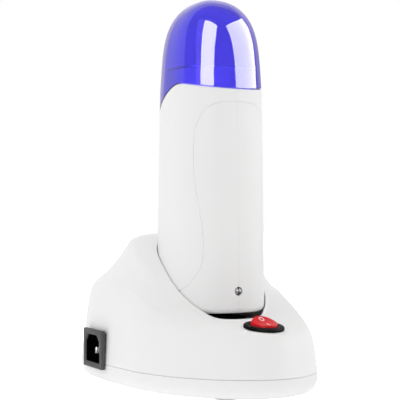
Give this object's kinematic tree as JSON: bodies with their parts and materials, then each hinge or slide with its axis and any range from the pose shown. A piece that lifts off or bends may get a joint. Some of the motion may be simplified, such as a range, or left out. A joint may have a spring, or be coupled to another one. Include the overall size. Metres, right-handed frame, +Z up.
{
  "type": "roll on wax heater",
  "caption": "Hand-held cartridge wax heater with clear blue cap, standing in a sloped mains base with a round rocker switch and inlet.",
  "frame": {"origin": "on the table, under the middle of the overall width and length, inlet included", "axes": "+Z up; -Y is the front with the switch and lamp; the mains inlet is on the -X side"},
  "size_m": [0.1144, 0.1782, 0.2284],
  "materials": {
    "white_shell": "glossy moulded white",
    "white_inner": "satin moulded white",
    "blue_cap": "polished transparent blue",
    "black_plastic": "fine moulded texture",
    "red_rocker": "glossy translucent red",
    "clear_lamp": "clear epoxy",
    "rubber": "matte",
    "steel": "zinc plated",
    "nickel": "nickel plated",
    "brass": "bright",
    "aluminium": "mill finish",
    "lead": "insulated wire",
    "board": "solder mask",
    "ceramic": "fired ceramic",
    "film": "heat resistant film"
  },
  "bodies": {
    "base": {"base_housing": "white_shell", "base_tray": "white_shell", "rubber_feet": "rubber", "base_screws": "steel", "inlet_housing": "black_plastic", "inlet_pins": "nickel", "switch_bezel": "black_plastic", "switch_terminals": "brass", "dock_block": "black_plastic", "dock_sleeves": "brass", "dock_screws": "steel", "base_leads": "lead"},
    "rocker": {"switch_rocker": "red_rocker"},
    "handle": {"handle_shell_left": "white_shell", "handle_shell_right": "white_shell", "handle_screws": "steel", "indicator_lamp": "clear_lamp", "lamp_board": "board", "handle_connector": "black_plastic", "handle_pins": "brass", "handle_leads": "lead", "chamber_collar": "white_inner", "heating_chamber": "aluminium", "chamber_carrier": "white_inner", "heater_plates": "ceramic", "insulation_sheets": "film", "clamp_springs": "steel", "thermal_cutout": "nickel"},
    "cap_body": {"cap": "blue_cap"}
  },
  "joints": [
    {"name": "rocker_tip", "type": "hinge", "parent": "base", "child": "rocker", "pos_m": [0.00147, -0.06846, 0.03778], "axis": [-1, 0, 0], "range_deg": [0, 22]},
    {"name": "handle_lift", "type": "slide", "parent": "base", "child": "handle", "axis": [0, 0, 1], "range_m": [0, 0.06]},
    {"name": "cap_lift", "type": "slide", "parent": "handle", "child": "cap_body", "axis": [0, 0, 1], "range_m": [0, 0.06]}
  ]
}
